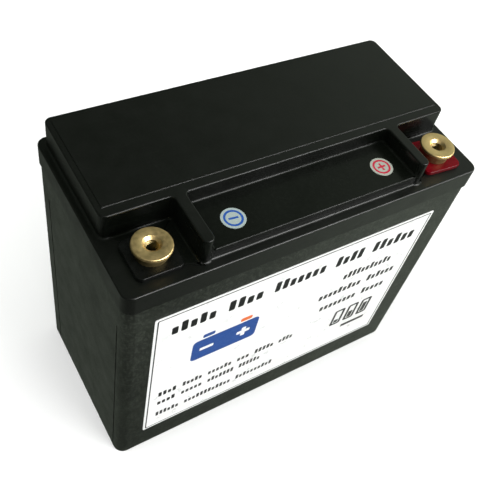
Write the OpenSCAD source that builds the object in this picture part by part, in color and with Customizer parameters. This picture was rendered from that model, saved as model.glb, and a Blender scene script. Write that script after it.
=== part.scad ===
// Sealed lithium starter battery for a motorcycle, in the 175 x 87 x 155 mm case size.
// Origin: centre of the case's underside. +Z is up, +X runs along the long side, and the label faces -Y.

/* [Case] */
// Length of the case over the lid
case_l = 175; // [170:1:190]
// Width of the case over the lid
case_w = 87; // [86:1:95]
// Height of the case to the raised top
case_h = 155; // [152:1:175]
// Thickness of the jar's walls and floor
jar_wall = 3; // [2.5:0.1:3.2]
// Thickness of the lid
lid_wall = 2.4; // [2:0.1:2.6]
// How far the lid's skirt stands proud of the jar
lid_overhang = 0.4; // [0.2:0.1:0.8]
// Radius of the case's vertical corners
corner_r = 4.5; // [3:0.5:6]

/* [Lid] */
// Depth of the raised top above the terminal ledge
ledge_drop = 12.7; // [11:0.1:14]
// Height of the lid's skirt below the ledge
skirt_h = 10.4; // [9:0.1:12]
// Set-in of the raised top at the ends
end_inset = 3.3; // [2:0.1:5]
// Set-in of the raised top at the back
back_inset = 2.7; // [2:0.1:4]
// Distance of the raised block's front wall behind the case's centre line, towards the label
block_front = 14.8; // [12:0.1:17]
// Distance of the tray's front wall from the centre line, towards the label
tray_front = 38.8; // [38:0.1:39.5]
// Half of the clear length of the tray between its two ribs
tray_half = 50; // [46:0.5:52]
// Thickness of each rib
rib_t = 5; // [4:0.5:6]
// Depth of the tray's floor below the raised top
tray_drop = 7.7; // [6:0.1:9]

/* [Terminals] */
// Distance of each terminal from the middle of the case
terminal_x = 70.4; // [69:0.1:72]
// Distance of each terminal from the centre line, towards the label
terminal_y = 28.8; // [27:0.1:30]
// Diameter of the terminal's head
head_d = 15.8; // [14:0.1:17]
// Diameter of the terminal's post
post_d = 13; // [12:0.1:13.5]
// Tapping diameter of the M6 thread in the terminal
thread_bore_d = 5; // [4.8:0.1:5.4]
// Depth of the threaded hole
thread_depth = 12; // [10:1:14]
// Side of the square coloured base under each terminal
base_side = 19.2; // [17:0.1:19.6]
// Thickness of the coloured base
base_t = 2; // [1.5:0.1:2.5]

/* [Label] */
// Width of the front label
label_w = 145; // [120:1:155]
// Height of the front label
label_h = 102.8; // [90:0.1:106]
// Diameter of the polarity stickers
sticker_d = 10.3; // [9:0.1:13]

/* [Cells] */
// Diameter of a cell
cell_d = 32.2; // [31.5:0.1:32.4]
// Length of a cell
cell_l = 67.5; // [66:0.5:70]
// Distance between neighbouring cells
cell_pitch = 33.4; // [33.2:0.1:33.6]

/* [Hidden] */
$fn = 64;

// Levels of the case
ledge_z = case_h - ledge_drop;
tray_z = case_h - tray_drop;
skirt_z = ledge_z - skirt_h;
seal_t = 0.4;
rim_z = skirt_z - seal_t;
pocket_roof_z = ledge_z - lid_wall;

// Jar
jar_l = case_l - 2 * lid_overhang;
jar_w = case_w - 2 * lid_overhang;
jar_r = corner_r + 0.7;
room_l = jar_l - 2 * jar_wall;
room_w = jar_w - 2 * jar_wall;
room_r = 1.5;
lip_h = 4;
lip_gap = 0.1;
groove_w = 0.8;
groove_depth = 0.4;
groove_foot_z = 2;
groove_top_z = 117;
groove_front_y = -37;
groove_back_y = 32.2;

// Raised block of the lid
block_l = case_l - 2 * end_inset;
block_back_y = case_w / 2 - back_inset;
block_w = block_back_y + block_front;
block_mid_y = (block_back_y - block_front) / 2;
block_r = 3;
rib_fillet = 2;
rib_reach = 0.8;
rim_step = 0.3;
rim_top_z = case_h - rim_step;
rim_w = 2.4;
rim_front_w = 4.4;
block_roof_z = rim_top_z - lid_wall;

// Terminals
positive_base_turn = -4;
head_t = 1.5;
head_top_z = 150.2;
post_top_z = head_top_z - head_t;
post_foot_z = ledge_z + base_t;
stem_d = 8;
stem_foot_z = 128;
hole_clearance = 0.1;
stem_hole_d = stem_d + 2 * hole_clearance;
mouth_d = 7.4;
mouth_depth = 1.2;
under_seal_d = 15;
under_seal_t = 1.2;
lug_t = 1.2;
spring_washer_d = 13;
spring_washer_t = 1.5;
nut_t = 6;
nut_af = 13;
lug_z = pocket_roof_z - under_seal_t - lug_t;
washer_z = lug_z - spring_washer_t;
nut_z = washer_z - nut_t;

// Leads: a barrel leaves the lug, and the lead bends down inside the case
lead_d = 5.5;
barrel_d = 7.4;
lug_d = 15;
barrel_start = 9;
barrel_end = 18;
lead_run_end = 24;
lead_bend_r = 9;
lead_z = lug_z - barrel_d / 2 + lug_t;
lead_drop_r = lead_run_end + lead_bend_r;
negative_turn = 25;
positive_turn = 90;
cup_d = 8;
cup_h = 9;

// Pack of cells: four columns of two cells
columns = 4;
rows = 2;
foam_floor_t = 12.7;
foam_gap = 0.6;
insulator_t = 0.8;
strip_t = 0.5;
strip_w = 12;
pack_z = jar_wall + foam_floor_t;
strip_low_z = pack_z + insulator_t;
cell_z = strip_low_z + strip_t;
cell_top_z = cell_z + cell_l;
strip_top_z = cell_top_z + strip_t;
holder_l = 138;
holder_w = 71;
holder_h = 9;
holder_r = 6;
cell_clearance = 0.1;
button_d = 17;
button_h = 1;
crimp_depth = 0.8;
crimp_z = 5;
sensor_hole_d = 6;
tab_t = 0.5;
tab_x = 66;
tab_w = 16;
tab_top_z = 98;

// Circuit board above the cells
standoff_h = 6;
board_z = strip_top_z + insulator_t + standoff_h;
board_l = 110;
board_w = 58;
board_t = 1.6;
board_top_z = board_z + board_t;
board_hole_x = 50;
board_hole_y = 24;
screw_d = 3;
screw_hole_d = screw_d + 2 * hole_clearance;
screw_head_d = 5.6;
screw_head_h = 2;
screw_reach = 4;
transistor_t = 4.5;
transistor_count = 6;
transistor_pitch = 12;
transistor_y = 16;
fin_count = 7;
spreader_base_t = 1.8;
fin_h = 3;
socket_x = 30;
socket_l = 16;
socket_deep = 6;
socket_h = 6.5;
socket_wall = 1;
plug_front_y = -board_w / 2 - 2;

// Small gap that keeps neighbouring solids from sharing a sliver
eps = 0.01;

function terminal_at(side) = [side * terminal_x, -terminal_y, 0];
function cell_x(i) = (floor(i / rows) - (columns - 1) / 2) * cell_pitch;
function cell_y(i) = (i % rows - (rows - 1) / 2) * cell_pitch;
function cell_up(i) = floor(i / rows) % 2 == 1;

// Flat shape with round corners, centred on the origin
module round_rect(l, w, r) {
  square([l - 2 * r, w], center = true);
  square([l, w - 2 * r], center = true);
  for (x = [-1, 1], y = [-1, 1])
    translate([x * (l / 2 - r), y * (w / 2 - r)]) circle(r);
}

module slab(l, w, r, z0, z1) {
  translate([0, 0, z0]) linear_extrude(z1 - z0) round_rect(l, w, r);
}

module block(x0, x1, y0, y1, z0, z1) {
  translate([x0, y0, z0]) cube([x1 - x0, y1 - y0, z1 - z0]);
}

module ring(d_out, d_in, z0, z1) {
  translate([0, 0, z0]) difference() {
    cylinder(d = d_out, h = z1 - z0);
    translate([0, 0, -1]) cylinder(d = d_in, h = z1 - z0 + 2);
  }
}

// Case ---------------------------------------------------------------

module end_grooves() {
  for (side = [-1, 1], y = [groove_front_y, groove_back_y])
    block(side * jar_l / 2 - groove_depth, side * jar_l / 2 + groove_depth,
          y - groove_w / 2, y + groove_w / 2, groove_foot_z, groove_top_z);
}

module jar() {
  color("#1b1b1a") difference() {
    union() {
      slab(jar_l, jar_w, jar_r, 0, rim_z);
      slab(case_l - 2 * lid_wall - 2 * lip_gap, case_w - 2 * lid_wall - 2 * lip_gap,
           corner_r - lid_wall, rim_z - 1, rim_z + lip_h);
    }
    slab(room_l, room_w, room_r, jar_wall, rim_z + lip_h + 1);
    end_grooves();
  }
}

module lid_seal() {
  color("#0c0c0c") difference() {
    slab(jar_l - 0.4, jar_w - 0.4, jar_r - 0.2, rim_z, skirt_z);
    slab(case_l - 2 * lid_wall, case_w - 2 * lid_wall, corner_r - lid_wall, rim_z - 1, skirt_z + 1);
  }
}

// Each rib ends in a round tip and meets the block in a hollow corner on both sides
module lid_ribs() {
  tip_y = -tray_front - rib_reach + rib_t / 2;
  root_w = rib_t + 2 * rib_fillet;
  root_y = -block_front - rib_fillet;
  for (side = [-1, 1]) translate([side * (tray_half + rib_t / 2), 0, ledge_z - 1])
    linear_extrude(rim_top_z - ledge_z + 1) {
      translate([-rib_t / 2, tip_y]) square([rib_t, 1 - block_front - tip_y]);
      translate([0, tip_y]) circle(d = rib_t);
      difference() {
        translate([-root_w / 2, root_y]) square([root_w, rib_fillet + 1]);
        for (edge = [-1, 1]) translate([edge * root_w / 2, root_y]) circle(rib_fillet);
      }
    }
}

module lid_top() {
  translate([0, block_mid_y, 0]) slab(block_l, block_w, block_r, ledge_z - 1, rim_top_z);
  block(-block_l / 2 + rim_w, block_l / 2 - rim_w, -block_front + rim_front_w, block_back_y - rim_w,
        case_h - 1, case_h);
  block(-tray_half - rib_t / 2, tray_half + rib_t / 2, -tray_front, -block_front + 1, ledge_z - 1, tray_z);
}

module lid_room() {
  slab(case_l - 2 * lid_wall, case_w - 2 * lid_wall, corner_r - lid_wall, skirt_z - 1, pocket_roof_z);
  block(-block_l / 2 + lid_wall, block_l / 2 - lid_wall, -block_front + lid_wall,
        block_back_y - lid_wall, pocket_roof_z - 1, block_roof_z);
  block(-tray_half + lid_wall, tray_half - lid_wall, -tray_front + lid_wall, -block_front + lid_wall + 1,
        pocket_roof_z - 1, tray_z - lid_wall);
}

module lid() {
  color("#202020") difference() {
    union() {
      slab(case_l, case_w, corner_r, skirt_z, ledge_z);
      lid_top();
      lid_ribs();
    }
    lid_room();
    for (side = [-1, 1])
      translate(terminal_at(side)) cylinder(d = stem_hole_d, h = case_h);
  }
}

module front_label() {
  label_t = 0.25;
  label_x = -1.7;
  label_foot_z = 17.9;
  label_r = 0.8;
  color("white") translate([label_x, -jar_w / 2, label_foot_z + label_h / 2])
    rotate([90, 0, 0]) linear_extrude(label_t) round_rect(label_w, label_h, label_r);
}

module sticker(x) {
  sticker_y = -28.2;
  sticker_t = 0.2;
  translate([x, sticker_y, tray_z]) cylinder(d = sticker_d, h = sticker_t);
}

module minus_sticker() {
  color("aliceblue") sticker(-35.5);
}

module plus_sticker() {
  color("mistyrose") sticker(39);
}

// Terminals ----------------------------------------------------------

module terminal_profile() {
  polygon([
    [thread_bore_d / 2, head_top_z - thread_depth],
    [thread_bore_d / 2, head_top_z - mouth_depth],
    [mouth_d / 2, head_top_z],
    [head_d / 2 - 0.3, head_top_z],
    [head_d / 2, head_top_z - 0.3],
    [head_d / 2, post_top_z],
    [post_d / 2, post_top_z - 0.5],
    [post_d / 2, post_foot_z],
    [stem_d / 2, post_foot_z],
    [stem_d / 2, stem_foot_z + 0.6],
    [stem_d / 2 - 0.6, stem_foot_z],
    [0, stem_foot_z],
    [0, head_top_z - thread_depth]
  ]);
}

module terminal(side) {
  color("#cbb36a") translate(terminal_at(side)) rotate_extrude() terminal_profile();
}

module negative_terminal() {
  terminal(-1);
}

module positive_terminal() {
  terminal(1);
}

module terminal_base(side, turn) {
  base_r = 2.5;
  translate(terminal_at(side)) rotate([0, 0, turn]) difference() {
    slab(base_side, base_side, base_r, ledge_z, post_foot_z);
    translate([0, 0, ledge_z - 1]) cylinder(d = stem_hole_d, h = base_t + 2);
  }
}

module negative_base() {
  color("#101010") terminal_base(-1, 0);
}

module positive_base() {
  color("#b01224") terminal_base(1, positive_base_turn);
}

module terminal_seals() {
  color("#2a2a2a") for (side = [-1, 1])
    translate(terminal_at(side)) ring(under_seal_d, stem_hole_d, lug_z + lug_t, pocket_roof_z);
}

module spring_washers() {
  color("silver") for (side = [-1, 1])
    translate(terminal_at(side)) ring(spring_washer_d, stem_hole_d, washer_z, lug_z);
}

module terminal_nuts() {
  color("gainsboro") for (side = [-1, 1]) translate(terminal_at(side)) difference() {
    translate([0, 0, nut_z]) cylinder(d = nut_af / cos(30), h = nut_t, $fn = 6);
    translate([0, 0, nut_z - 1]) cylinder(d = stem_d + hole_clearance, h = nut_t + 2);
  }
}

// Leads --------------------------------------------------------------

module along_x(d, x0, x1) {
  translate([x0, 0, 0]) rotate([0, 90, 0]) cylinder(d = d, h = x1 - x0);
}

module at_lug(side, turn) {
  translate(terminal_at(side)) rotate([0, 0, turn]) children();
}

module lug() {
  difference() {
    union() {
      translate([0, 0, lug_z]) cylinder(d = lug_d, h = lug_t);
      block(0, barrel_start + 1, -barrel_d / 2, barrel_d / 2, lug_z, lug_z + lug_t);
      translate([0, 0, lead_z]) along_x(barrel_d, barrel_start, barrel_end);
    }
    translate([0, 0, lug_z - 1]) cylinder(d = stem_hole_d, h = lug_t + 2);
  }
}

// The lead from its barrel's end, round one bend, down to the level end_z
module lead(end_z) {
  translate([0, 0, lead_z]) along_x(lead_d, barrel_end, lead_run_end);
  translate([lead_run_end, 0, lead_z - lead_bend_r]) rotate([90, 0, 0])
    rotate_extrude(angle = 90) translate([lead_bend_r, 0]) circle(d = lead_d);
  translate([lead_drop_r, 0, end_z]) cylinder(d = lead_d, h = lead_z - lead_bend_r - end_z);
}

module negative_lug() {
  color("#b87333") at_lug(-1, negative_turn) lug();
}

module positive_lug() {
  color("#b87333") at_lug(1, positive_turn) lug();
}

module negative_lead() {
  color("#151515") at_lug(-1, negative_turn) lead(board_top_z + cup_h);
}

module positive_lead() {
  color("#b01224") at_lug(1, positive_turn) lead(tab_top_z);
}

module negative_cup() {
  color("#b87333") at_lug(-1, negative_turn)
    translate([lead_drop_r, 0, board_top_z]) cylinder(d = cup_d, h = cup_h);
}

module positive_cup() {
  color("#b87333") at_lug(1, positive_turn) difference() {
    translate([lead_drop_r, 0, tab_top_z - cup_h]) cylinder(d = cup_d + 2, h = cup_h);
    block(lead_drop_r - cup_d, lead_drop_r + cup_d,
          terminal_x - tab_x - tab_t, terminal_x, tab_top_z - cup_h - 1, tab_top_z + 1);
  }
}

// Cells and their links ----------------------------------------------

module cell_shape() {
  body_l = cell_l - button_h;
  rotate_extrude() polygon([
    [0, 0],
    [cell_d / 2 - 0.6, 0],
    [cell_d / 2, 0.6],
    [cell_d / 2, body_l - crimp_z - 1],
    [cell_d / 2 - crimp_depth, body_l - crimp_z],
    [cell_d / 2, body_l - crimp_z + 1],
    [cell_d / 2, body_l - 0.6],
    [cell_d / 2 - 0.6, body_l],
    [button_d / 2, body_l],
    [button_d / 2, cell_l],
    [0, cell_l]
  ]);
}

module cell(i) {
  color("#2f6db3") translate([cell_x(i), cell_y(i), cell_up(i) ? cell_z : cell_top_z])
    rotate([cell_up(i) ? 0 : 180, 0, 0]) cell_shape();
}

module holder(z0) {
  color("#303438") difference() {
    slab(holder_l, holder_w, holder_r, z0, z0 + holder_h);
    for (i = [0 : columns * rows - 1]) translate([cell_x(i), cell_y(i), z0 - 1])
      cylinder(d = cell_d + 2 * cell_clearance, h = holder_h + 2);
    translate([0, 0, z0 - 1]) cylinder(d = sensor_hole_d, h = holder_h + 2);
  }
}

module lower_holder() {
  holder(cell_z);
}

module upper_holder() {
  holder(cell_top_z - holder_h);
}

// Ladder of welded strip over the columns centred on x = -half and +half
module link(mid_x, z0) {
  half = cell_pitch / 2;
  reach = cell_pitch + strip_w;
  color("#c9c6bd") translate([mid_x, 0, z0]) linear_extrude(strip_t) {
    for (side = [-1, 1]) {
      translate([side * half, 0]) square([strip_w, reach], center = true);
      translate([0, side * half]) square([reach, strip_w], center = true);
    }
  }
}

module top_link() {
  link(0, cell_top_z);
}

module bottom_link_left() {
  link(-cell_pitch, strip_low_z);
}

module bottom_link_right() {
  link(cell_pitch, strip_low_z);
}

module end_tab(side) {
  inner_x = 1.5 * cell_pitch - strip_w / 2;
  half_reach = (cell_pitch + strip_w) / 2;
  color("#c9c6bd") mirror([side < 0 ? 1 : 0, 0, 0]) {
    block(inner_x, inner_x + strip_w, -half_reach, half_reach, cell_top_z, strip_top_z);
    block(inner_x, tab_x + tab_t, -tab_w / 2, tab_w / 2, cell_top_z, strip_top_z);
    block(tab_x, tab_x + tab_t, -tab_w / 2, tab_w / 2, cell_top_z, tab_top_z);
  }
}

module positive_tab() {
  end_tab(1);
}

module negative_tab() {
  end_tab(-1);
}

// Copper angle from the negative tab onto the circuit board
module negative_link() {
  link_t = 0.8;
  lap = 8;
  color("#b87333") {
    block(-tab_x, -tab_x + link_t, -tab_w / 2, tab_w / 2, board_top_z, tab_top_z);
    block(-tab_x, -board_l / 2 + lap, -tab_w / 2, tab_w / 2, board_top_z, board_top_z + link_t);
  }
}

module insulator(z0) {
  insulator_l = 131;
  color("#3f6b4f") difference() {
    slab(insulator_l, holder_w, holder_r, z0, z0 + insulator_t);
    translate([0, 0, z0 - 1]) cylinder(d = sensor_hole_d, h = insulator_t + 2);
  }
}

module bottom_insulator() {
  insulator(pack_z);
}

module top_insulator() {
  insulator(strip_top_z);
}

// Foam ---------------------------------------------------------------

module bottom_foam() {
  color("#6b6b6b") slab(room_l - 2 * foam_gap, room_w - 2 * foam_gap, room_r, jar_wall, pack_z);
}

module side_foam(side) {
  color("#6b6b6b") mirror([side < 0 ? 1 : 0, 0, 0])
    block(holder_l / 2 + foam_gap, room_l / 2 - foam_gap,
          -room_w / 2 + foam_gap, room_w / 2 - foam_gap, pack_z, cell_top_z);
}

module left_foam() {
  side_foam(-1);
}

module right_foam() {
  side_foam(1);
}

module top_foam() {
  foam_l = 120;
  foam_front_y = -6;
  foam_z = board_top_z + transistor_t + spreader_base_t + fin_h;
  color("#6b6b6b") block(-foam_l / 2, foam_l / 2, foam_front_y, block_back_y - lid_wall - foam_gap,
                         foam_z, block_roof_z);
}

// Circuit board ------------------------------------------------------

module at_board_corners() {
  for (x = [-1, 1], y = [-1, 1]) translate([x * board_hole_x, y * board_hole_y, 0]) children();
}

module board() {
  board_r = 2;
  color("#1f5a3a") difference() {
    slab(board_l, board_w, board_r, board_z, board_top_z);
    at_board_corners() translate([0, 0, board_z - 1]) cylinder(d = screw_hole_d, h = board_t + 2);
  }
}

module board_standoffs() {
  standoff_d = 6.4;
  color("ivory") at_board_corners() ring(standoff_d, screw_hole_d, board_z - standoff_h, board_z);
}

module board_screws() {
  color("silver") at_board_corners() {
    translate([0, 0, board_top_z]) cylinder(d = screw_head_d, h = screw_head_h);
    translate([0, 0, board_z - screw_reach]) cylinder(d = screw_d, h = screw_reach + board_t + eps);
  }
}

module power_transistors() {
  transistor_l = 10;
  transistor_w = 9;
  color("#141414") for (i = [0 : transistor_count - 1]) {
    mid_x = (i - (transistor_count - 1) / 2) * transistor_pitch;
    block(mid_x - transistor_l / 2, mid_x + transistor_l / 2,
          transistor_y - transistor_w / 2, transistor_y + transistor_w / 2,
          board_top_z, board_top_z + transistor_t);
  }
}

module heat_spreader() {
  spreader_l = transistor_count * transistor_pitch;
  spreader_w = 14;
  spreader_z = board_top_z + transistor_t;
  fin_t = 1;
  fin_step = (spreader_w - fin_t) / (fin_count - 1);
  color("lightgray") {
    block(-spreader_l / 2, spreader_l / 2, transistor_y - spreader_w / 2, transistor_y + spreader_w / 2,
          spreader_z, spreader_z + spreader_base_t);
    for (i = [0 : fin_count - 1]) {
      fin_y = transistor_y - spreader_w / 2 + i * fin_step;
      block(-spreader_l / 2, spreader_l / 2, fin_y, fin_y + fin_t,
            spreader_z + spreader_base_t - eps, spreader_z + spreader_base_t + fin_h);
    }
  }
}

module balance_socket() {
  front_y = -board_w / 2;
  foot_z = board_top_z;
  color("ivory") difference() {
    block(socket_x - socket_l / 2, socket_x + socket_l / 2, front_y, front_y + socket_deep,
          foot_z, foot_z + socket_h);
    block(socket_x - socket_l / 2 + socket_wall, socket_x + socket_l / 2 - socket_wall,
          front_y - 1, front_y + socket_deep - 1.5 * socket_wall,
          foot_z + socket_wall, foot_z + socket_h - socket_wall);
  }
}

module balance_plug() {
  plug_gap = 0.1;
  half_l = socket_l / 2 - socket_wall - plug_gap;
  color("white") block(socket_x - half_l, socket_x + half_l,
                       plug_front_y, -board_w / 2 + socket_deep - 1.5 * socket_wall - plug_gap,
                       board_top_z + socket_wall + plug_gap,
                       board_top_z + socket_h - socket_wall - plug_gap);
}

// Flat ribbon from the plug, over the pack's edge and down to the lower links
module balance_ribbon() {
  ribbon_w = 10;
  ribbon_t = 1;
  bend_r = 2;
  run_y = -holder_w / 2 - ribbon_t;
  run_z = board_top_z + socket_h / 2;
  color("dimgray") translate([socket_x - ribbon_w / 2, 0, 0]) {
    block(0, ribbon_w, run_y + bend_r - ribbon_t / 2, plug_front_y,
          run_z - ribbon_t / 2, run_z + ribbon_t / 2);
    translate([0, run_y + bend_r - ribbon_t / 2, run_z - bend_r]) rotate([0, 90, 0])
      rotate([0, 0, 180]) rotate_extrude(angle = 90)
      translate([bend_r - ribbon_t / 2, 0]) square([ribbon_t, ribbon_w]);
    block(0, ribbon_w, run_y - ribbon_t, run_y, pack_z, run_z - bend_r);
  }
}

// Bead between the middle cells, on a wire that comes down from the board
module temperature_sensor() {
  bead_d = 4;
  bead_l = 12;
  bead_z = 58;
  wire_d = 1.6;
  color("#202020") {
    translate([0, 0, bead_z]) cylinder(d = bead_d, h = bead_l);
    translate([0, 0, bead_z + 1]) cylinder(d = wire_d, h = board_z - bead_z - 1);
  }
}

jar();
lid();
lid_seal();
front_label();
minus_sticker();
plus_sticker();
negative_terminal();
positive_terminal();
negative_base();
positive_base();
terminal_seals();
spring_washers();
terminal_nuts();
negative_lug();
positive_lug();
negative_lead();
positive_lead();
negative_cup();
positive_cup();
cell(0);  // cell_1
cell(1);  // cell_2
cell(2);  // cell_3
cell(3);  // cell_4
cell(4);  // cell_5
cell(5);  // cell_6
cell(6);  // cell_7
cell(7);  // cell_8
lower_holder();
upper_holder();
top_link();
positive_tab();
negative_tab();
bottom_link_left();
bottom_link_right();
negative_link();
bottom_insulator();
top_insulator();
bottom_foam();
left_foam();
right_foam();
top_foam();
board();
board_standoffs();
board_screws();
power_transistors();
heat_spreader();
balance_socket();
balance_plug();
balance_ribbon();
temperature_sensor();
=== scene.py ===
import math
import random

import bmesh
import bpy
from mathutils import Matrix, Vector


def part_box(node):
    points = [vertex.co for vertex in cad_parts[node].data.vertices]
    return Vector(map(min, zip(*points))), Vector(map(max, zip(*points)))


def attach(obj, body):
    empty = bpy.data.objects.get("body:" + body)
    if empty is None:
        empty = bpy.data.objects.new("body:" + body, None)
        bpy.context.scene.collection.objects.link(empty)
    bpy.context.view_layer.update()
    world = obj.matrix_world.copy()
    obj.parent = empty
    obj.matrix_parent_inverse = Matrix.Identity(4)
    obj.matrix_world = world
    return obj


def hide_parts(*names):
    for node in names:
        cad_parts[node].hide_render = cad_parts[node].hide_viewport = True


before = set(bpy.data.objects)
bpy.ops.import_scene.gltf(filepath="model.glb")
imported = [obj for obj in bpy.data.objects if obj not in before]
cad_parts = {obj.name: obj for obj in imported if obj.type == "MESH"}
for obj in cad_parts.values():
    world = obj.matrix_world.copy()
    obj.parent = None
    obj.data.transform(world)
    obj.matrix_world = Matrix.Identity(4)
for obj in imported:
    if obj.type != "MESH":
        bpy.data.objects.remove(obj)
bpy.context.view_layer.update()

MM = 0.001
TURN = 2 * math.pi
SEED = 7
RANGE_SOCKETS = ("From Min", "From Max", "To Min", "To Max")

# ---------------------------------------------------------------- camera and view

LOOK_DOWN = math.radians(51.05)
LOOK_TURN = math.radians(43.12)
CAMERA_ROLL = math.radians(15.54)
CAMERA_AT = Vector((-147.7, -161.8, 346.9)) * MM
CAMERA_LENS = 49.6


def make_camera():
    """Camera that looks down on the label's left corner, rolled a little."""
    forward = Vector((
        math.sin(LOOK_TURN) * math.cos(LOOK_DOWN),
        math.cos(LOOK_TURN) * math.cos(LOOK_DOWN),
        -math.sin(LOOK_DOWN),
    ))
    level = Vector((forward.y, -forward.x, 0)).normalized()
    upright = level.cross(forward)
    right = level * math.cos(CAMERA_ROLL) + upright * math.sin(CAMERA_ROLL)
    data = bpy.data.cameras.new("camera")
    data.lens = CAMERA_LENS
    data.clip_start = 0.01
    data.clip_end = 20
    camera = bpy.data.objects.new("camera", data)
    bpy.context.scene.collection.objects.link(camera)
    turned = Matrix((right, right.cross(forward), -forward)).transposed().to_4x4()
    camera.matrix_world = Matrix.Translation(CAMERA_AT) @ turned
    bpy.context.scene.camera = camera


# ---------------------------------------------------------------- the case's sizes, from the frame

def span(node):
    lo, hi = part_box(node)
    return Vector(lo), Vector(hi)


lid_lo, lid_hi = span("lid")
jar_lo, jar_hi = span("jar")
tray_z = span("plus_sticker")[0].z
ledge_z = span("negative_base")[0].z
label_lo, label_hi = span("front_label")
head_lo, head_hi = span("positive_terminal")
terminal_x = (head_lo.x + head_hi.x) / 2
terminal_y = (head_lo.y + head_hi.y) / 2


# ---------------------------------------------------------------- materials

class Paint:
    """One procedural material: a Principled shader and the textures that drive it."""

    def __init__(self, name, colour, roughness, **sockets):
        self.material = bpy.data.materials.new(name)
        self.material.use_nodes = True
        self.tree = self.material.node_tree
        self.shader = self.tree.nodes["Principled BSDF"]
        self.shader.inputs["Base Color"].default_value = (*colour, 1)
        self.shader.inputs["Roughness"].default_value = roughness
        for socket, value in sockets.items():
            self.shader.inputs[socket.replace("_", " ")].default_value = value
        self.place = self.node("ShaderNodeTexCoord").outputs["Object"]
        self.normal = None

    def node(self, kind, **settings):
        made = self.tree.nodes.new(kind)
        for name, value in settings.items():
            setattr(made, name, value)
        return made

    def wire(self, source, target):
        self.tree.links.new(source, target)

    def stretched(self, scale, turn=(0, 0, 0)):
        """Object coordinates turned and scaled, for grain that runs one way."""
        mapping = self.node("ShaderNodeMapping")
        mapping.inputs["Scale"].default_value = scale
        mapping.inputs["Rotation"].default_value = turn
        self.wire(self.place, mapping.inputs["Vector"])
        return mapping.outputs["Vector"]

    def clouds(self, size, detail=3, rough=0.55, at=None):
        """Noise whose blotches are about size across."""
        made = self.node("ShaderNodeTexNoise")
        made.inputs["Scale"].default_value = 1 / size
        made.inputs["Detail"].default_value = detail
        made.inputs["Roughness"].default_value = rough
        self.wire(at or self.place, made.inputs["Vector"])
        return made.outputs["Fac"]

    def cells(self, size):
        """Cells about size across; the value is the distance from a cell's middle."""
        made = self.node("ShaderNodeTexVoronoi")
        made.inputs["Scale"].default_value = 1 / size
        self.wire(self.place, made.inputs["Vector"])
        return made.outputs["Distance"]

    def between(self, value, low, high, new_low, new_high):
        """Value's range from low to high, moved to the new range and clamped."""
        made = self.node("ShaderNodeMapRange")
        for name, number in zip(RANGE_SOCKETS, (low, high, new_low, new_high)):
            made.inputs[name].default_value = number
        self.wire(value, made.inputs["Value"])
        return made.outputs["Result"]

    def sum(self, one, other, operation="ADD"):
        made = self.node("ShaderNodeMath", operation=operation)
        self.wire(one, made.inputs[0])
        self.wire(other, made.inputs[1])
        return made.outputs["Value"]

    def colours(self, value, one, other):
        """Colour that goes from one to the other as value goes from 0 to 1."""
        made = self.node("ShaderNodeMix", data_type="RGBA")
        ends = [socket for socket in made.inputs if socket.type == "RGBA"]
        ends[0].default_value = (*one, 1)
        ends[1].default_value = (*other, 1)
        self.wire(value, made.inputs["Factor"])
        mixed = [socket for socket in made.outputs if socket.type == "RGBA"][0]
        self.wire(mixed, self.shader.inputs["Base Color"])

    def roughness(self, value):
        self.wire(value, self.shader.inputs["Roughness"])

    def bump(self, height, depth, strength=1.0):
        """Adds relief of about the given depth over what is there already."""
        made = self.node("ShaderNodeBump")
        made.inputs["Strength"].default_value = strength
        made.inputs["Distance"].default_value = depth
        self.wire(height, made.inputs["Height"])
        if self.normal is not None:
            self.wire(self.normal, made.inputs["Normal"])
        self.normal = made.outputs["Normal"]
        self.wire(self.normal, self.shader.inputs["Normal"])


def scuffed(paint, size):
    """Mask of fine scratches that run in two directions, mostly zero."""
    lines = []
    for stretch, turn in (((1, 14, 1), 0.5), ((12, 1, 1), -0.35)):
        run = paint.stretched(stretch, (0, 0, turn))
        lines.append(paint.between(paint.clouds(size, 2, 0.5, run), 0.66, 0.74, 0, 1))
    patches = paint.between(paint.clouds(size * 4, 2), 0.5, 0.62, 0, 1)
    return paint.sum(paint.sum(lines[0], lines[1], "MAXIMUM"), patches, "MULTIPLY")


def moulded(name, colour, worn, rough, grain, grain_depth, scuff_size, specular=0.5,
            speckle=0.3):
    """Injection-moulded plastic: speckled grain, a slow change of gloss, dust and scuffs."""
    paint = Paint(name, colour, rough, Specular_IOR_Level=specular)
    dust = paint.between(paint.clouds(28 * MM, 5, 0.6), 0.35, 0.75, 0, 0.5)
    specks = paint.between(paint.clouds(1.6 * grain, 2), 0.5, 0.62, 0, speckle)
    marks = scuffed(paint, scuff_size)
    paint.colours(paint.sum(paint.sum(dust, specks), marks, "MAXIMUM"), colour, worn)
    slow = paint.between(paint.clouds(11 * MM, 4), 0.3, 0.7, rough - 0.05, rough + 0.06)
    paint.roughness(paint.sum(slow, paint.between(marks, 0, 1, 0, 0.15)))
    paint.bump(paint.clouds(9 * MM, 2), 0.06 * MM, 0.6)
    paint.bump(paint.clouds(grain, 3, 0.6), grain_depth)
    return paint.material


def lid_paint():
    return moulded("lid_plastic", (0.0016, 0.0021, 0.0014), (0.0042, 0.0050, 0.0038), 0.36,
                   0.55 * MM, 0.018 * MM, 6 * MM, 0.4)


def gloss_paint():
    return moulded("lid_polished", (0.0018, 0.0024, 0.0016), (0.0045, 0.0055, 0.0042), 0.22,
                   0.9 * MM, 0.004 * MM, 5 * MM, 0.29)


def jar_paint():
    return moulded("jar_plastic", (0.0034, 0.0050, 0.0028), (0.0250, 0.0300, 0.0220), 0.4,
                   0.8 * MM, 0.09 * MM, 9 * MM, speckle=0.7)


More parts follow.
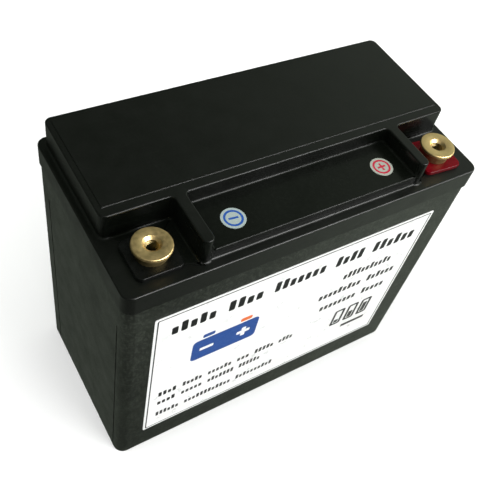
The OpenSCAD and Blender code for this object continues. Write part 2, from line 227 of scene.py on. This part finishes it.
def plain_plastic(name, colour, worn, rough, grain=0.5 * MM, depth=0.008 * MM, **sockets):
    """Small moulded part: a faint grain and uneven gloss."""
    paint = Paint(name, colour, rough, **sockets)
    paint.colours(paint.between(paint.clouds(3 * MM, 4), 0.35, 0.7, 0, 1), colour, worn)
    paint.roughness(paint.between(paint.clouds(2 * MM, 3), 0.3, 0.7, rough - 0.06, rough + 0.08))
    paint.bump(paint.clouds(grain, 3), depth)
    return paint.material


def metal(name, colour, tarnish, rough, brushed=(1, 1, 1), turned_at=None):
    """Bare metal: tarnish in clouds, and tool marks that run one way or round an axis."""
    paint = Paint(name, colour, rough, Metallic=1.0)
    paint.colours(paint.between(paint.clouds(2.2 * MM, 5, 0.65), 0.35, 0.72, 0, 1), colour, tarnish)
    if turned_at is None:
        marks = paint.clouds(0.5 * MM, 3, 0.6, paint.stretched(brushed))
    else:
        marks = turning_marks(paint, turned_at)
    uneven = paint.between(paint.clouds(1.4 * MM, 3), 0.3, 0.7, rough - 0.07, rough + 0.08)
    paint.roughness(paint.sum(uneven, paint.between(marks, 0.2, 0.8, -0.03, 0.05)))
    paint.bump(marks, 0.006 * MM, 0.7)
    paint.bump(paint.clouds(0.35 * MM, 2), 0.004 * MM)
    return paint.material


def turning_marks(paint, centres):
    """Fine rings round each upright axis in centres, as a lathe leaves them."""
    split = paint.node("ShaderNodeSeparateXYZ")
    paint.wire(paint.place, split.inputs["Vector"])
    rings = None
    for x, y in centres:
        flat = paint.node("ShaderNodeCombineXYZ")
        for axis, shift in (("X", x), ("Y", y)):
            moved = paint.node("ShaderNodeMath", operation="SUBTRACT")
            moved.inputs[1].default_value = shift
            paint.wire(split.outputs[axis], moved.inputs[0])
            paint.wire(moved.outputs["Value"], flat.inputs[axis])
        reach = paint.node("ShaderNodeVectorMath", operation="LENGTH")
        paint.wire(flat.outputs["Vector"], reach.inputs[0])
        distance = reach.outputs["Value"]
        rings = distance if rings is None else paint.sum(rings, distance, "MINIMUM")
    with_height = paint.node("ShaderNodeCombineXYZ")
    paint.wire(rings, with_height.inputs["X"])
    paint.wire(split.outputs["Z"], with_height.inputs["Y"])
    return paint.clouds(0.16 * MM, 3, 0.6, with_height.outputs["Vector"])


def paper(name, colour, yellowed, rough):
    """Printed vinyl film: faint fibre, slightly uneven gloss."""
    paint = Paint(name, colour, rough, Specular_IOR_Level=0.4)
    paint.colours(paint.between(paint.clouds(18 * MM, 4), 0.4, 0.75, 0, 1), colour, yellowed)
    paint.roughness(paint.between(paint.clouds(6 * MM, 3), 0.3, 0.7, rough - 0.06, rough + 0.08))
    paint.bump(paint.clouds(0.25 * MM, 3), 0.003 * MM)
    paint.bump(paint.clouds(14 * MM, 2), 0.02 * MM, 0.5)
    return paint.material


def ink(name, colour, worn, rough=0.4):
    """Printed ink, a little thin in places."""
    paint = Paint(name, colour, rough, Specular_IOR_Level=0.35)
    paint.colours(paint.between(paint.clouds(0.6 * MM, 4), 0.5, 0.8, 0, 0.6), colour, worn)
    paint.roughness(paint.between(paint.clouds(1.5 * MM, 2), 0.3, 0.7, rough - 0.05, rough + 0.08))
    return paint.material


def foam_paint():
    """Open-cell foam: pores of two sizes."""
    paint = Paint("foam", (0.12, 0.12, 0.125), 0.95, Specular_IOR_Level=0.2)
    pores = paint.cells(0.7 * MM)
    paint.colours(paint.between(pores, 0.1, 0.6, 0, 1), (0.05, 0.05, 0.052), (0.17, 0.17, 0.175))
    paint.bump(pores, 0.25 * MM)
    paint.bump(paint.cells(2.4 * MM), 0.2 * MM, 0.5)
    return paint.material


def wrap_paint():
    """Shrink sleeve on a cell: glossy film with faint wrinkles round it."""
    paint = Paint("cell_sleeve", (0.030, 0.115, 0.360), 0.28, Coat_Weight=0.3, Coat_Roughness=0.15)
    paint.colours(paint.between(paint.clouds(9 * MM, 3), 0.35, 0.7, 0, 1),
                  (0.030, 0.115, 0.360), (0.044, 0.145, 0.420))
    paint.roughness(paint.between(paint.clouds(3 * MM, 3), 0.3, 0.7, 0.22, 0.38))
    paint.bump(paint.clouds(5 * MM, 3, 0.6, paint.stretched((1, 1, 6))), 0.12 * MM, 0.5)
    return paint.material


def board_paint():
    """Solder mask over tracks that run along and across the board."""
    paint = Paint("board_mask", (0.010, 0.085, 0.040), 0.35)
    along = paint.clouds(1.6 * MM, 1, 0.4, paint.stretched((0.2, 1, 1)))
    across = paint.clouds(1.6 * MM, 1, 0.4, paint.stretched((1, 0.2, 1)))
    tracks = paint.between(paint.sum(along, across, "MAXIMUM"), 0.56, 0.6, 0, 1)
    paint.colours(tracks, (0.008, 0.070, 0.032), (0.018, 0.130, 0.060))
    paint.bump(tracks, 0.035 * MM)
    paint.roughness(paint.between(paint.clouds(4 * MM, 3), 0.3, 0.7, 0.3, 0.45))
    return paint.material


RIBBON_BANDS = 157


def ribbon_paint():
    """Flat cable: a row of grey cores side by side."""
    paint = Paint("ribbon_grey", (0.20, 0.20, 0.21), 0.5)
    wave = paint.node("ShaderNodeTexWave", wave_type="BANDS", bands_direction="X")
    wave.inputs["Scale"].default_value = RIBBON_BANDS
    paint.wire(paint.place, wave.inputs["Vector"])
    paint.colours(wave.outputs["Fac"], (0.13, 0.13, 0.14), (0.24, 0.24, 0.25))
    paint.bump(wave.outputs["Fac"], 0.2 * MM)
    paint.roughness(paint.between(paint.clouds(2 * MM, 3), 0.3, 0.7, 0.42, 0.58))
    return paint.material


BRASS_AXES = ((-terminal_x, terminal_y), (terminal_x, terminal_y))
PAINTS = {
    "jar": jar_paint(),
    "lid": lid_paint(),
    "lid_gloss": gloss_paint(),
    "seal": plain_plastic("seal_bead", (0.006, 0.006, 0.006), (0.012, 0.012, 0.012), 0.5,
                          0.8 * MM, 0.02 * MM),
    "label": paper("label_film", (0.84, 0.84, 0.84), (0.81, 0.81, 0.80), 0.32),
    "minus": paper("minus_film", (0.29, 0.35, 0.34), (0.26, 0.31, 0.30), 0.34),
    "plus": paper("plus_film", (0.31, 0.33, 0.29), (0.28, 0.30, 0.26), 0.34),
    "brass": metal("brass_turned", (0.91, 0.68, 0.33), (0.80, 0.59, 0.27), 0.42,
                   turned_at=BRASS_AXES),
    # Darker brass for the post under the head and inside the tapped hole: painted shade, not tarnish
    "brass_painted_shade": metal("brass_painted_shade", (0.36, 0.28, 0.13), (0.25, 0.19, 0.08), 0.45,
                        turned_at=BRASS_AXES),
    "black_base": plain_plastic("base_black", (0.002, 0.0024, 0.002), (0.004, 0.0046, 0.004), 0.3,
                                Specular_IOR_Level=0.22),
    "red_base": plain_plastic("base_red", (0.10, 0.001, 0.004), (0.13, 0.002, 0.006), 0.2,
                              Specular_IOR_Level=0.12),
    "rubber": plain_plastic("rubber", (0.018, 0.018, 0.018), (0.035, 0.035, 0.034), 0.75,
                            0.4 * MM, 0.02 * MM),
    "steel": metal("steel_plated", (0.60, 0.59, 0.56), (0.45, 0.44, 0.41), 0.30, (1, 1, 9)),
    "copper": metal("copper_tinned_edge", (0.70, 0.36, 0.22), (0.48, 0.23, 0.13), 0.32, (6, 1, 1)),
    "black_wire": plain_plastic("wire_black", (0.012, 0.012, 0.012), (0.022, 0.022, 0.022), 0.5),
    "red_wire": plain_plastic("wire_red", (0.35, 0.010, 0.012), (0.42, 0.022, 0.022), 0.5),
    "cell_wrap": wrap_paint(),
    "holder": plain_plastic("holder_plastic", (0.024, 0.026, 0.029), (0.036, 0.038, 0.042), 0.5,
                            0.4 * MM, 0.02 * MM),
    "nickel": metal("nickel_strip", (0.58, 0.56, 0.50), (0.46, 0.44, 0.39), 0.28, (1, 8, 1)),
    "insulator": plain_plastic("fish_paper", (0.045, 0.130, 0.070), (0.060, 0.160, 0.090), 0.7,
                               0.6 * MM, 0.03 * MM),
    "foam": foam_paint(),
    "board": board_paint(),
    "nylon": plain_plastic("nylon_white", (0.72, 0.70, 0.64), (0.64, 0.61, 0.55), 0.42),
    "chip": plain_plastic("moulded_epoxy", (0.010, 0.010, 0.011), (0.020, 0.020, 0.021), 0.55,
                          0.25 * MM, 0.015 * MM),
    "aluminium": metal("aluminium_drawn", (0.66, 0.66, 0.67), (0.54, 0.54, 0.55), 0.33, (1, 10, 1)),
    "ribbon": ribbon_paint(),
    "ink": ink("ink_black", (0.005, 0.005, 0.006), (0.03, 0.03, 0.03)),
    "ink_blue": ink("ink_blue", (0.010, 0.060, 0.270), (0.03, 0.10, 0.34)),
    "ink_orange": ink("ink_orange", (0.720, 0.130, 0.020), (0.76, 0.20, 0.06)),
    "ink_red": ink("ink_red", (0.370, 0.014, 0.036), (0.44, 0.04, 0.06)),
}


# ---------------------------------------------------------------- mesh helpers

WELD_REACH = 0.002 * MM
FLAT_FOLD = math.radians(0.5)
SHARP_FOLD = math.radians(25)


def add_piece(name, mesh, slot, replaces=(), paints=()):
    """Puts a mesh into the scene as a piece of the battery."""
    piece = bpy.data.objects.new(name, mesh)
    bpy.context.scene.collection.objects.link(piece)
    for paint in paints or (slot,):
        mesh.materials.append(PAINTS[paint])
    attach(piece, "root")
    if replaces:
        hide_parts(*replaces)
    return piece


def finish_mesh(name, sheet, smooth=True):
    mesh = bpy.data.meshes.new(name)
    sheet.to_mesh(mesh)
    sheet.free()
    for face in mesh.polygons:
        face.use_smooth = smooth
    return mesh


def clean_copy(node):
    """The node's mesh as a bmesh, with its triangles joined into flat faces."""
    sheet = bmesh.new()
    sheet.from_mesh(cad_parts[node].data)
    bmesh.ops.remove_doubles(sheet, verts=sheet.verts, dist=WELD_REACH)
    bmesh.ops.dissolve_limit(sheet, angle_limit=FLAT_FOLD, verts=sheet.verts, edges=sheet.edges)
    bmesh.ops.recalc_face_normals(sheet, faces=sheet.faces)
    return sheet


def round_edges(piece, width, segments):
    """Rounds the edges that carry a bevel weight, as far as the weight says."""
    bevel = piece.modifiers.new("round_edges", "BEVEL")
    bevel.limit_method = "WEIGHT"
    bevel.width = width
    bevel.segments = segments
    bevel.profile = 0.5
    bevel.miter_outer = "MITER_SHARP"
    bevel.use_clamp_overlap = False
    normals = piece.modifiers.new("flat_faces_stay_flat", "WEIGHTED_NORMAL")
    normals.keep_sharp = True


def weigh_edges(sheet, width, rule):
    """Gives each sharp edge a bevel weight: rule(edge) says its radius, and width is the widest."""
    layers = sheet.edges.layers.float
    layer = layers.get("bevel_weight_edge") or layers.new("bevel_weight_edge")
    for edge in sheet.edges:
        if len(edge.link_faces) != 2:
            continue
        if edge.calc_face_angle(0) > SHARP_FOLD:
            edge[layer] = min(1.0, rule(edge) / width)


def middle(edge):
    return (edge.verts[0].co + edge.verts[1].co) / 2


# ---------------------------------------------------------------- case

HOLLOW_ROUND = 1.2 * MM
EDGE_ROUND = 0.7 * MM
UPRIGHT_ROUND = 0.5 * MM
UNDERSIDE_ROUND = 0.2 * MM
CREASE_ROUND = 0.13 * MM
JAR_FOOT_ROUND = 0.9 * MM
JAR_ROUND = 0.12 * MM
BASE_ROUND = 0.4 * MM
RECESS_BACK_Y = -14 * MM


def lid_radius(edge):
    """Radius of one edge of the lid."""
    at = middle(edge)
    run = edge.verts[1].co - edge.verts[0].co
    upright = abs(run.z) > 0.5 * run.length
    hollow = not edge.is_convex
    underside = min(edge.verts[0].co.z, edge.verts[1].co.z) < ledge_z - 2 * MM
    if underside:
        return UNDERSIDE_ROUND
    if at.z > lid_hi.z - 0.25 * MM or (hollow and at.z > lid_hi.z - 1 * MM):
        return CREASE_ROUND
    if upright:
        return UPRIGHT_ROUND
    if hollow:
        return HOLLOW_ROUND
    return EDGE_ROUND


def make_lid():
    """Lid with rounded edges; the pockets and the tray are polished, the rest is grained."""
    sheet = clean_copy("lid")
    weigh_edges(sheet, HOLLOW_ROUND, lid_radius)
    low = ledge_z - 0.5 * MM
    high = lid_hi.z - 0.5 * MM
    for face in sheet.faces:
        centre = face.calc_center_median()
        recess = centre.y < RECESS_BACK_Y and low < centre.z < high
        face.material_index = 1 if recess else 0
    mesh = finish_mesh("lid_shell", sheet)
    piece = add_piece("lid_shell", mesh, "lid", ("lid",), ("lid", "lid_gloss"))
    round_edges(piece, HOLLOW_ROUND, 4)


def jar_radius(edge):
    """Radius of one edge of the jar: wide round the underside, fine elsewhere."""
    return JAR_FOOT_ROUND if middle(edge).z < 0.1 * MM else JAR_ROUND


def make_jar():
    sheet = clean_copy("jar")
    weigh_edges(sheet, JAR_FOOT_ROUND, jar_radius)
    piece = add_piece("jar_shell", finish_mesh("jar_shell", sheet), "jar", ("jar",))
    round_edges(piece, JAR_FOOT_ROUND, 3)


# ---------------------------------------------------------------- terminals

def rim_point(centre, radius, angle, height):
    """Point at a radius and an angle from an upright axis."""
    x = centre[0] + radius * math.cos(angle)
    y = centre[1] + radius * math.sin(angle)
    return (x, y, height)


def lathe(sheet, centre, profile, steps):
    """Turns a profile of (radius, height) points round an upright axis; closed at neither end."""
    angles = [TURN * step / steps for step in range(steps)]
    rings = []
    for radius, height in profile:
        rings.append([sheet.verts.new(rim_point(centre, radius, angle, height)) for angle in angles])
    bridge(sheet, rings)
    return rings


def bridge(sheet, rings):
    """Joins each ring of points to the next."""
    for lower, upper in zip(rings, rings[1:]):
        for step in range(len(lower)):
            following = (step + 1) % len(lower)
            sheet.faces.new((lower[step], lower[following], upper[following], upper[step]))


def arc(centre_r, centre_z, radius, start, end, points=5):
    """Points on an arc in the (radius, height) plane; angles in degrees, 0 points outward."""
    return [
        (centre_r + radius * math.cos(math.radians(start + (end - start) * i / (points - 1))),
         centre_z + radius * math.sin(math.radians(start + (end - start) * i / (points - 1))))
        for i in range(points)
    ]


# The terminal's own sizes; its thread is measured down from the top of the head
HEAD_R = (head_hi.x - head_lo.x) / 2
HEAD_T = 1.5 * MM
POST_R = 6.5 * MM
STEM_R = 4.0 * MM
BASE_T = 2.0 * MM
RIM_R = 0.45 * MM
MOUTH_R = 3.7 * MM
MOUTH_DEPTH = 1.2 * MM
THREAD_R = 2.5 * MM
THREAD_TIP_R = 3.0 * MM
THREAD_PITCH = 1.0 * MM
THREAD_DEPTH = 12 * MM
LATHE_STEPS = 96
RINGS_PER_TURN = 6


def terminal_outline():
    """From the foot of the stem up the outside to the edge of the hole's mouth."""
    top = head_hi.z
    neck = top - HEAD_T
    foot = ledge_z + BASE_T
    return (
        [(0.4 * MM, head_lo.z), (STEM_R - 0.6 * MM, head_lo.z)]
        + [(STEM_R, head_lo.z + 0.6 * MM), (STEM_R, foot)]
        + arc(POST_R - 0.25 * MM, foot + 0.25 * MM, 0.25 * MM, -90, 0, 3)
        + [(POST_R, neck - 0.5 * MM)]
        + arc(HEAD_R - 0.15 * MM, neck + 0.15 * MM, 0.15 * MM, -60, 0, 3)
        + arc(HEAD_R - RIM_R, top - RIM_R, RIM_R, 0, 90, 6)
        + [(MOUTH_R + 0.12 * MM, top), (MOUTH_R, top - 0.06 * MM)]
    )


def thread_rings(sheet, centre):
    """Rings down the tapped hole; the radius follows the thread's own helix."""
    mouth_z = head_hi.z - MOUTH_DEPTH
    count = int((THREAD_DEPTH - MOUTH_DEPTH) / THREAD_PITCH * RINGS_PER_TURN)
    rings = []
    for level in range(count + 1):
        depth = level * THREAD_PITCH / RINGS_PER_TURN
        fade = min(1.0, depth / THREAD_PITCH, (count - level) / RINGS_PER_TURN)
        ring = []
        for step in range(LATHE_STEPS):
            angle = TURN * step / LATHE_STEPS
            phase = (depth / THREAD_PITCH + step / LATHE_STEPS) % 1
            groove = 1 - abs(2 * phase - 1)
            radius = THREAD_R + (THREAD_TIP_R - THREAD_R) * groove * fade
            ring.append(sheet.verts.new(rim_point(centre, radius, angle, mouth_z - depth)))
        rings.append(ring)
    return rings


def make_terminal(name, side):
    sheet = bmesh.new()
    centre = (side * terminal_x, terminal_y)
    outside = lathe(sheet, centre, terminal_outline(), LATHE_STEPS)
    hole = thread_rings(sheet, centre)
    bridge(sheet, [outside[-1]] + hole)
    sheet.faces.new(hole[-1])
    sheet.faces.new(list(reversed(outside[0])))
    bmesh.ops.recalc_face_normals(sheet, faces=sheet.faces)
    for face in sheet.faces:
        # The post under the head and the tapped hole get the darker brass as painted shade
        face.material_index = 0 if is_unshaded_brass(face.calc_center_median(), centre) else 1
    node = name.replace("_turned", "")
    piece = add_piece(name, finish_mesh(name, sheet), "brass", (node,), ("brass", "brass_painted_shade"))
    sharp_shading(piece, 32)


def is_unshaded_brass(at, centre):
    """The head keeps the plain brass; the post under it and the tapped hole take a darker brass,
    which is painted shade.
    """
    reach = math.hypot(at.x - centre[0], at.y - centre[1])
    return at.z > head_hi.z - HEAD_T - 0.5 * MM and reach > THREAD_TIP_R


def sharp_shading(piece, degrees):
    """Smooth shading that breaks at edges folded more than the given angle."""
    mesh = piece.data
    work = bmesh.new()
    work.from_mesh(mesh)
    for edge in work.edges:
        edge.smooth = len(edge.link_faces) == 2 and edge.calc_face_angle(0) < math.radians(degrees)
    work.to_mesh(mesh)
    work.free()


# ---------------------------------------------------------------- labels and printed marks

INK_T = 0.02 * MM

# Make-believe words: a block's pitch and a low block's height are shares of the row's height
BLOCK_STEP = 0.54
BLOCK_FILL = 0.68
LOW_BLOCK = 0.72
TALL_SHARE = 0.35

# Rows of words in millimetres: left, right, foot, height, gap between words, number of words
WORD_ROWS = (
    (-66, 65, 104.6, 7.6, 5, 5),
    (27, 57, 89.2, 5.2, 3.5, 1),
    (16, 64, 77.2, 5.2, 3.5, 2),
    (20, 62, 65.2, 5.2, 3.5, 2),
    (-68, 8, 49.8, 4.1, 2.8, 6),
    (-68, -10, 41.2, 4.1, 2.8, 4),
    (-68, 0, 28.8, 4.1, 2.8, 3),
)

# Battery sign in millimetres, as left, right, foot, top, corner radius
SIGN_BODY = (-54, -20, 72, 89, 2.4)
SIGN_MINUS_POLE = (-49.5, -43.5, 90, 92.8, 0.8)
SIGN_PLUS_POLE = (-30.5, -24.5, 90, 92.8, 0.8)
SIGN_MARKS = (
    (-50, -43, 79.4, 81.6, 0.4),
    (-31, -24, 79.4, 81.6, 0.4),
    (-28.6, -26.4, 76.95, 79.35, 0.3),
    (-28.6, -26.4, 81.65, 84.05, 0.3),
)
FRAME_INSET = 1.1 * MM
FRAME_LINE = 0.6 * MM


def round_outline(x0, x1, z0, z1, radius, points=5):
    """Corner-rounded rectangle as (x, z) points, counter-clockwise seen from the label's front."""
    outline = []
    for cx, cz, start in ((x1 - radius, z0 + radius, -90), (x1 - radius, z1 - radius, 0),
                          (x0 + radius, z1 - radius, 90), (x0 + radius, z0 + radius, 180)):
        for i in range(points):
            angle = math.radians(start + 90 * i / (points - 1))
            outline.append((cx + radius * math.cos(angle), cz + radius * math.sin(angle)))
    return outline


def circle_outline(radius, points=48):
    angles = [TURN * i / points for i in range(points)]
    return [(radius * math.cos(angle), radius * math.sin(angle)) for angle in angles]


def plate(sheet, outline, place, low, high):
    """Thin closed plate over an outline; place(u, v, height) gives the point in the frame."""
    lower = [sheet.verts.new(place(u, v, low)) for u, v in outline]
    upper = [sheet.verts.new(place(u, v, high)) for u, v in outline]
    bridge(sheet, [lower, upper])
    sheet.faces.new(upper)
    sheet.faces.new(list(reversed(lower)))


def hoop(sheet, outer, inner, place, low, high):
    """Thin closed plate between an outline and a smaller one with as many points."""
    rings = [
        [sheet.verts.new(place(u, v, low)) for u, v in outer],
        [sheet.verts.new(place(u, v, high)) for u, v in outer],
        [sheet.verts.new(place(u, v, high)) for u, v in inner],
        [sheet.verts.new(place(u, v, low)) for u, v in inner],
    ]
    bridge(sheet, rings + [rings[0]])


def on_label(u, v, height):
    return (u, label_lo.y - height, v)


def word_blocks(sheet, chances, x0, x1, z0, height):
    """One word of make-believe print: plain upright blocks, some tall and some low."""
    count = max(2, round((x1 - x0) / (BLOCK_STEP * height)))
    step = (x1 - x0) / count
    for index in range(count):
        tall = height if chances.random() < TALL_SHARE else LOW_BLOCK * height
        left = x0 + index * step
        plate(sheet, round_outline(left, left + BLOCK_FILL * step, z0, z0 + tall, 0.1 * height, 3),
              on_label, 0, INK_T)


def word_row(sheet, chances, x0, x1, z0, height, gap, words):
    """Row of make-believe words from x0 to x1 that stands in for a line of print."""
    lengths = [chances.uniform(0.6, 1.4) for _ in range(words)]
    scale = (x1 - x0 - gap * (words - 1)) / sum(lengths)
    start = x0
    for length in lengths:
        end = start + length * scale
        word_blocks(sheet, chances, start, end, z0, height)
        start = end + gap


def add_print(name, sheet, paint, slot):
    bmesh.ops.recalc_face_normals(sheet, faces=sheet.faces)
    return add_piece(name, finish_mesh(name, sheet, smooth=False), slot, paints=(paint,))


def marks(sheet, rows, low=0.0, high=INK_T):
    """Adds a thin plate to the label for each row of left, right, foot, top and corner radius."""
    for row in rows:
        plate(sheet, round_outline(*(number * MM for number in row)), on_label, low, high)


def inset_outline(inset, radius):
    """The label's outline moved in all round, with rounded corners."""
    return round_outline(label_lo.x + inset, label_hi.x - inset,
                         label_lo.z + inset, label_hi.z - inset, radius)


def make_label_print():
    """Generic marks where a maker's print would be: blocks for words, signs and a frame line."""
    chances = random.Random(SEED)

    sheet = bmesh.new()
    hoop(sheet, inset_outline(FRAME_INSET, 0.6 * MM),
         inset_outline(FRAME_INSET + FRAME_LINE, 0.4 * MM), on_label, 0, INK_T)
    add_print("label_frame_line", sheet, "ink", "label")

    sheet = bmesh.new()
    for *sizes, words in WORD_ROWS:
        word_row(sheet, chances, *(number * MM for number in sizes), words)
    add_print("label_word_rows", sheet, "ink", "label")

    sheet = bmesh.new()
    marks(sheet, (SIGN_BODY, SIGN_MINUS_POLE))
    add_print("label_battery_sign", sheet, "ink_blue", "label")

    sheet = bmesh.new()
    marks(sheet, (SIGN_PLUS_POLE,))
    add_print("label_battery_sign_pole", sheet, "ink_orange", "label")

    sheet = bmesh.new()
    marks(sheet, SIGN_MARKS, INK_T, 2 * INK_T)
    add_print("label_battery_sign_marks", sheet, "label", "label")

    sheet = bmesh.new()
    for index in range(3):
        left = 34 + 9 * index
        right = left + 7
        hoop(sheet, round_outline(left * MM, right * MM, 41 * MM, 56 * MM, 1.4 * MM),
             round_outline((left + 1.6) * MM, (right - 1.6) * MM, 42.6 * MM, 54.4 * MM, 0.5 * MM),
             on_label, 0, INK_T)
        marks(sheet, ((left + 2.1, right - 2.1, 43.1, 46.1 + 3 * index, 0.5),))
    marks(sheet, ((44, 60, 34, 36.6, 0.4),))
    add_print("label_charge_signs", sheet, "ink", "label")


RING_OUTER = 0.79
RING_INNER = 0.61
ARM_REACH = 0.40
ARM_HALF = 0.09


def make_sticker_print(name, node, paint, turn, plus):
    """Ring with a plus or a minus in it, printed on a round sticker."""
    lo, hi = span(node)
    cx = (lo.x + hi.x) / 2
    cy = (lo.y + hi.y) / 2
    radius = (hi.x - lo.x) / 2

    def on_sticker(u, v, height):
        return (cx + u * math.cos(turn) - v * math.sin(turn),
                cy + u * math.sin(turn) + v * math.cos(turn), hi.z + height)

    sheet = bmesh.new()
    hoop(sheet, circle_outline(RING_OUTER * radius), circle_outline(RING_INNER * radius),
         on_sticker, 0, INK_T)
    arm = ARM_REACH * radius
    half = ARM_HALF * radius
    if plus:
        corner = [(half, half), (arm, half), (arm, -half)]
        outline = []
        for quarter in range(4):
            angle = -quarter * TURN / 4
            for u, v in corner:
                outline.append((u * math.cos(angle) - v * math.sin(angle),
                                u * math.sin(angle) + v * math.cos(angle)))
        plate(sheet, outline, on_sticker, 0, INK_T)
    else:
        plate(sheet, round_outline(-arm, arm, -half, half, 0.4 * half), on_sticker, 0, INK_T)
    add_print(name, sheet, paint, "plus" if plus else "minus")


# ---------------------------------------------------------------- nodes that keep their CAD shape

def slot_of(node):
    """The record's material slot of a CAD node, which is its material's name."""
    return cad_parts[node].data.materials[0].name.split(".")[0]


def dress(node):
    """Gives a CAD node its procedural material."""
    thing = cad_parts[node]
    paint = PAINTS[slot_of(node)]
    for slot in thing.material_slots:
        slot.material = paint
    if not thing.material_slots:
        thing.data.materials.append(paint)


def soften(node, width):
    """Joins a CAD node's flat faces and rounds its sharp edges, with modifiers only."""
    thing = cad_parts[node]
    weld = thing.modifiers.new("weld", "WELD")
    weld.merge_threshold = WELD_REACH
    planar = thing.modifiers.new("flat", "DECIMATE")
    planar.decimate_type = "DISSOLVE"
    planar.angle_limit = FLAT_FOLD
    bevel = thing.modifiers.new("round_edges", "BEVEL")
    bevel.limit_method = "ANGLE"
    bevel.angle_limit = math.radians(35)
    bevel.width = width
    bevel.segments = 3
    normals = thing.modifiers.new("flat_faces_stay_flat", "WEIGHTED_NORMAL")
    normals.keep_sharp = True


# ---------------------------------------------------------------- stage and light

def soft_light(name, place, size, power, glints):
    """Rectangular lamp aimed at the battery, which makes either the glints or the soft shading."""
    data = bpy.data.lights.new(name, "AREA")
    data.shape = "RECTANGLE"
    data.size = size[0]
    data.size_y = size[1]
    data.energy = power
    lamp = bpy.data.objects.new(name, data)
    bpy.context.scene.collection.objects.link(lamp)
    lamp.location = place
    lamp.rotation_mode = "QUATERNION"
    lamp.rotation_quaternion = (LAMP_AIM - Vector(place)).to_track_quat("-Z", "Y")
    lamp.visible_glossy = glints
    lamp.visible_diffuse = not glints


LAMP_AIM = Vector((0, 0, 70)) * MM
KEY_PLACE = (0.62, -1.12, 0.86)
KEY_SIZE = (1.0, 0.45)
KEY_POWER = 13
GLINT_POWER = 60
FILL_PLACE = (-1.1, 0.8, 0.9)
FILL_SIZE = (0.8, 0.8)
FILL_POWER = 9
CEILING_STRENGTH = 3.0
CEILING_ANGLE = math.radians(80)
CEILING_TILT = (math.radians(12), math.radians(-8), 0)
SKY_BRIGHT_SIDE = (0.8, -0.1, 0.0)
SKY_BRIGHT_LEVELS = (0.15, 0.65, 0.09, 0.5)
SKY_LOW_SIDE = (-0.3, 0.5, -0.8)
SKY_LOW_LEVELS = (0.55, 0.95, 0.0, 0.08)
SKY_COLOUR = (0.88, 1.0, 0.83)
FLOOR_REACH = 6.0
BACKDROP_R = 9.0


def make_stage():
    """Plain pale floor and backdrop, both kept out of the plastic's reflections."""
    edge = FLOOR_REACH
    corners = [(-edge, -edge, 0), (edge, -edge, 0), (edge, edge, 0), (-edge, edge, 0)]
    floor_mesh = bpy.data.meshes.new("floor")
    floor_mesh.from_pydata(corners, [], [(0, 1, 2, 3)])
    pale = Paint("floor_pale", (0.86, 0.86, 0.86), 0.9, Specular_IOR_Level=0.1)
    floor_mesh.materials.append(pale.material)
    floor = bpy.data.objects.new("floor", floor_mesh)

    shell = bmesh.new()
    bmesh.ops.create_icosphere(shell, subdivisions=4, radius=BACKDROP_R)
    backdrop = bpy.data.objects.new("backdrop", finish_mesh("backdrop", shell))
    glow = Paint("backdrop_pale", (0, 0, 0), 1.0,
                 Emission_Color=(1, 1, 1, 1), Emission_Strength=1.0)
    backdrop.data.materials.append(glow.material)
    backdrop.visible_diffuse = False
    backdrop.visible_shadow = False

    for thing in (floor, backdrop):
        thing.visible_glossy = False
        bpy.context.scene.collection.objects.link(thing)


def make_sky():
    """Dim studio walls, brighter towards +X and a little low down on the left."""
    world = bpy.data.worlds.new("studio")
    bpy.context.scene.world = world
    world.use_nodes = True
    tree = world.node_tree
    toward = tree.nodes.new("ShaderNodeTexCoord")
    total = tree.nodes.new("ShaderNodeMath")
    slopes = ((SKY_BRIGHT_SIDE, SKY_BRIGHT_LEVELS), (SKY_LOW_SIDE, SKY_LOW_LEVELS))
    for index, (side, levels) in enumerate(slopes):
        facing = tree.nodes.new("ShaderNodeVectorMath")
        facing.operation = "DOT_PRODUCT"
        facing.inputs[1].default_value = side
        tree.links.new(toward.outputs["Generated"], facing.inputs[0])
        level = tree.nodes.new("ShaderNodeMapRange")
        level.interpolation_type = "SMOOTHSTEP"
        for name, number in zip(RANGE_SOCKETS, levels):
            level.inputs[name].default_value = number
        tree.links.new(facing.outputs["Value"], level.inputs["Value"])
        tree.links.new(level.outputs["Result"], total.inputs[index])
    sky = tree.nodes["Background"]
    sky.inputs["Color"].default_value = (*SKY_COLOUR, 1)
    tree.links.new(total.outputs["Value"], sky.inputs["Strength"])


def make_lights():
    """Key lamp from the right front, a fill from behind, and a wide soft ceiling."""
    soft_light("key", KEY_PLACE, KEY_SIZE, KEY_POWER, glints=False)
    soft_light("key_glint", KEY_PLACE, KEY_SIZE, GLINT_POWER, glints=True)
    soft_light("fill", FILL_PLACE, FILL_SIZE, FILL_POWER, glints=False)
    ceiling = bpy.data.lights.new("ceiling", "SUN")
    ceiling.energy = CEILING_STRENGTH
    ceiling.angle = CEILING_ANGLE
    lamp = bpy.data.objects.new("ceiling", ceiling)
    bpy.context.scene.collection.objects.link(lamp)
    lamp.rotation_euler = CEILING_TILT
    lamp.visible_glossy = False
    scene = bpy.context.scene
    scene.view_settings.view_transform = "Standard"
    scene.view_settings.look = "None"


# ---------------------------------------------------------------- put it together

make_camera()
make_stage()
make_sky()
make_lights()
for node in sorted(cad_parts):
    dress(node)
make_lid()
make_jar()
make_terminal("negative_terminal_turned", -1)
make_terminal("positive_terminal_turned", 1)
for node in ("negative_base", "positive_base"):
    soften(node, BASE_ROUND)
make_label_print()
make_sticker_print("minus_sticker_print", "minus_sticker", "ink_blue", math.radians(-7), plus=False)
make_sticker_print("plus_sticker_print", "plus_sticker", "ink_red", 0, plus=True)
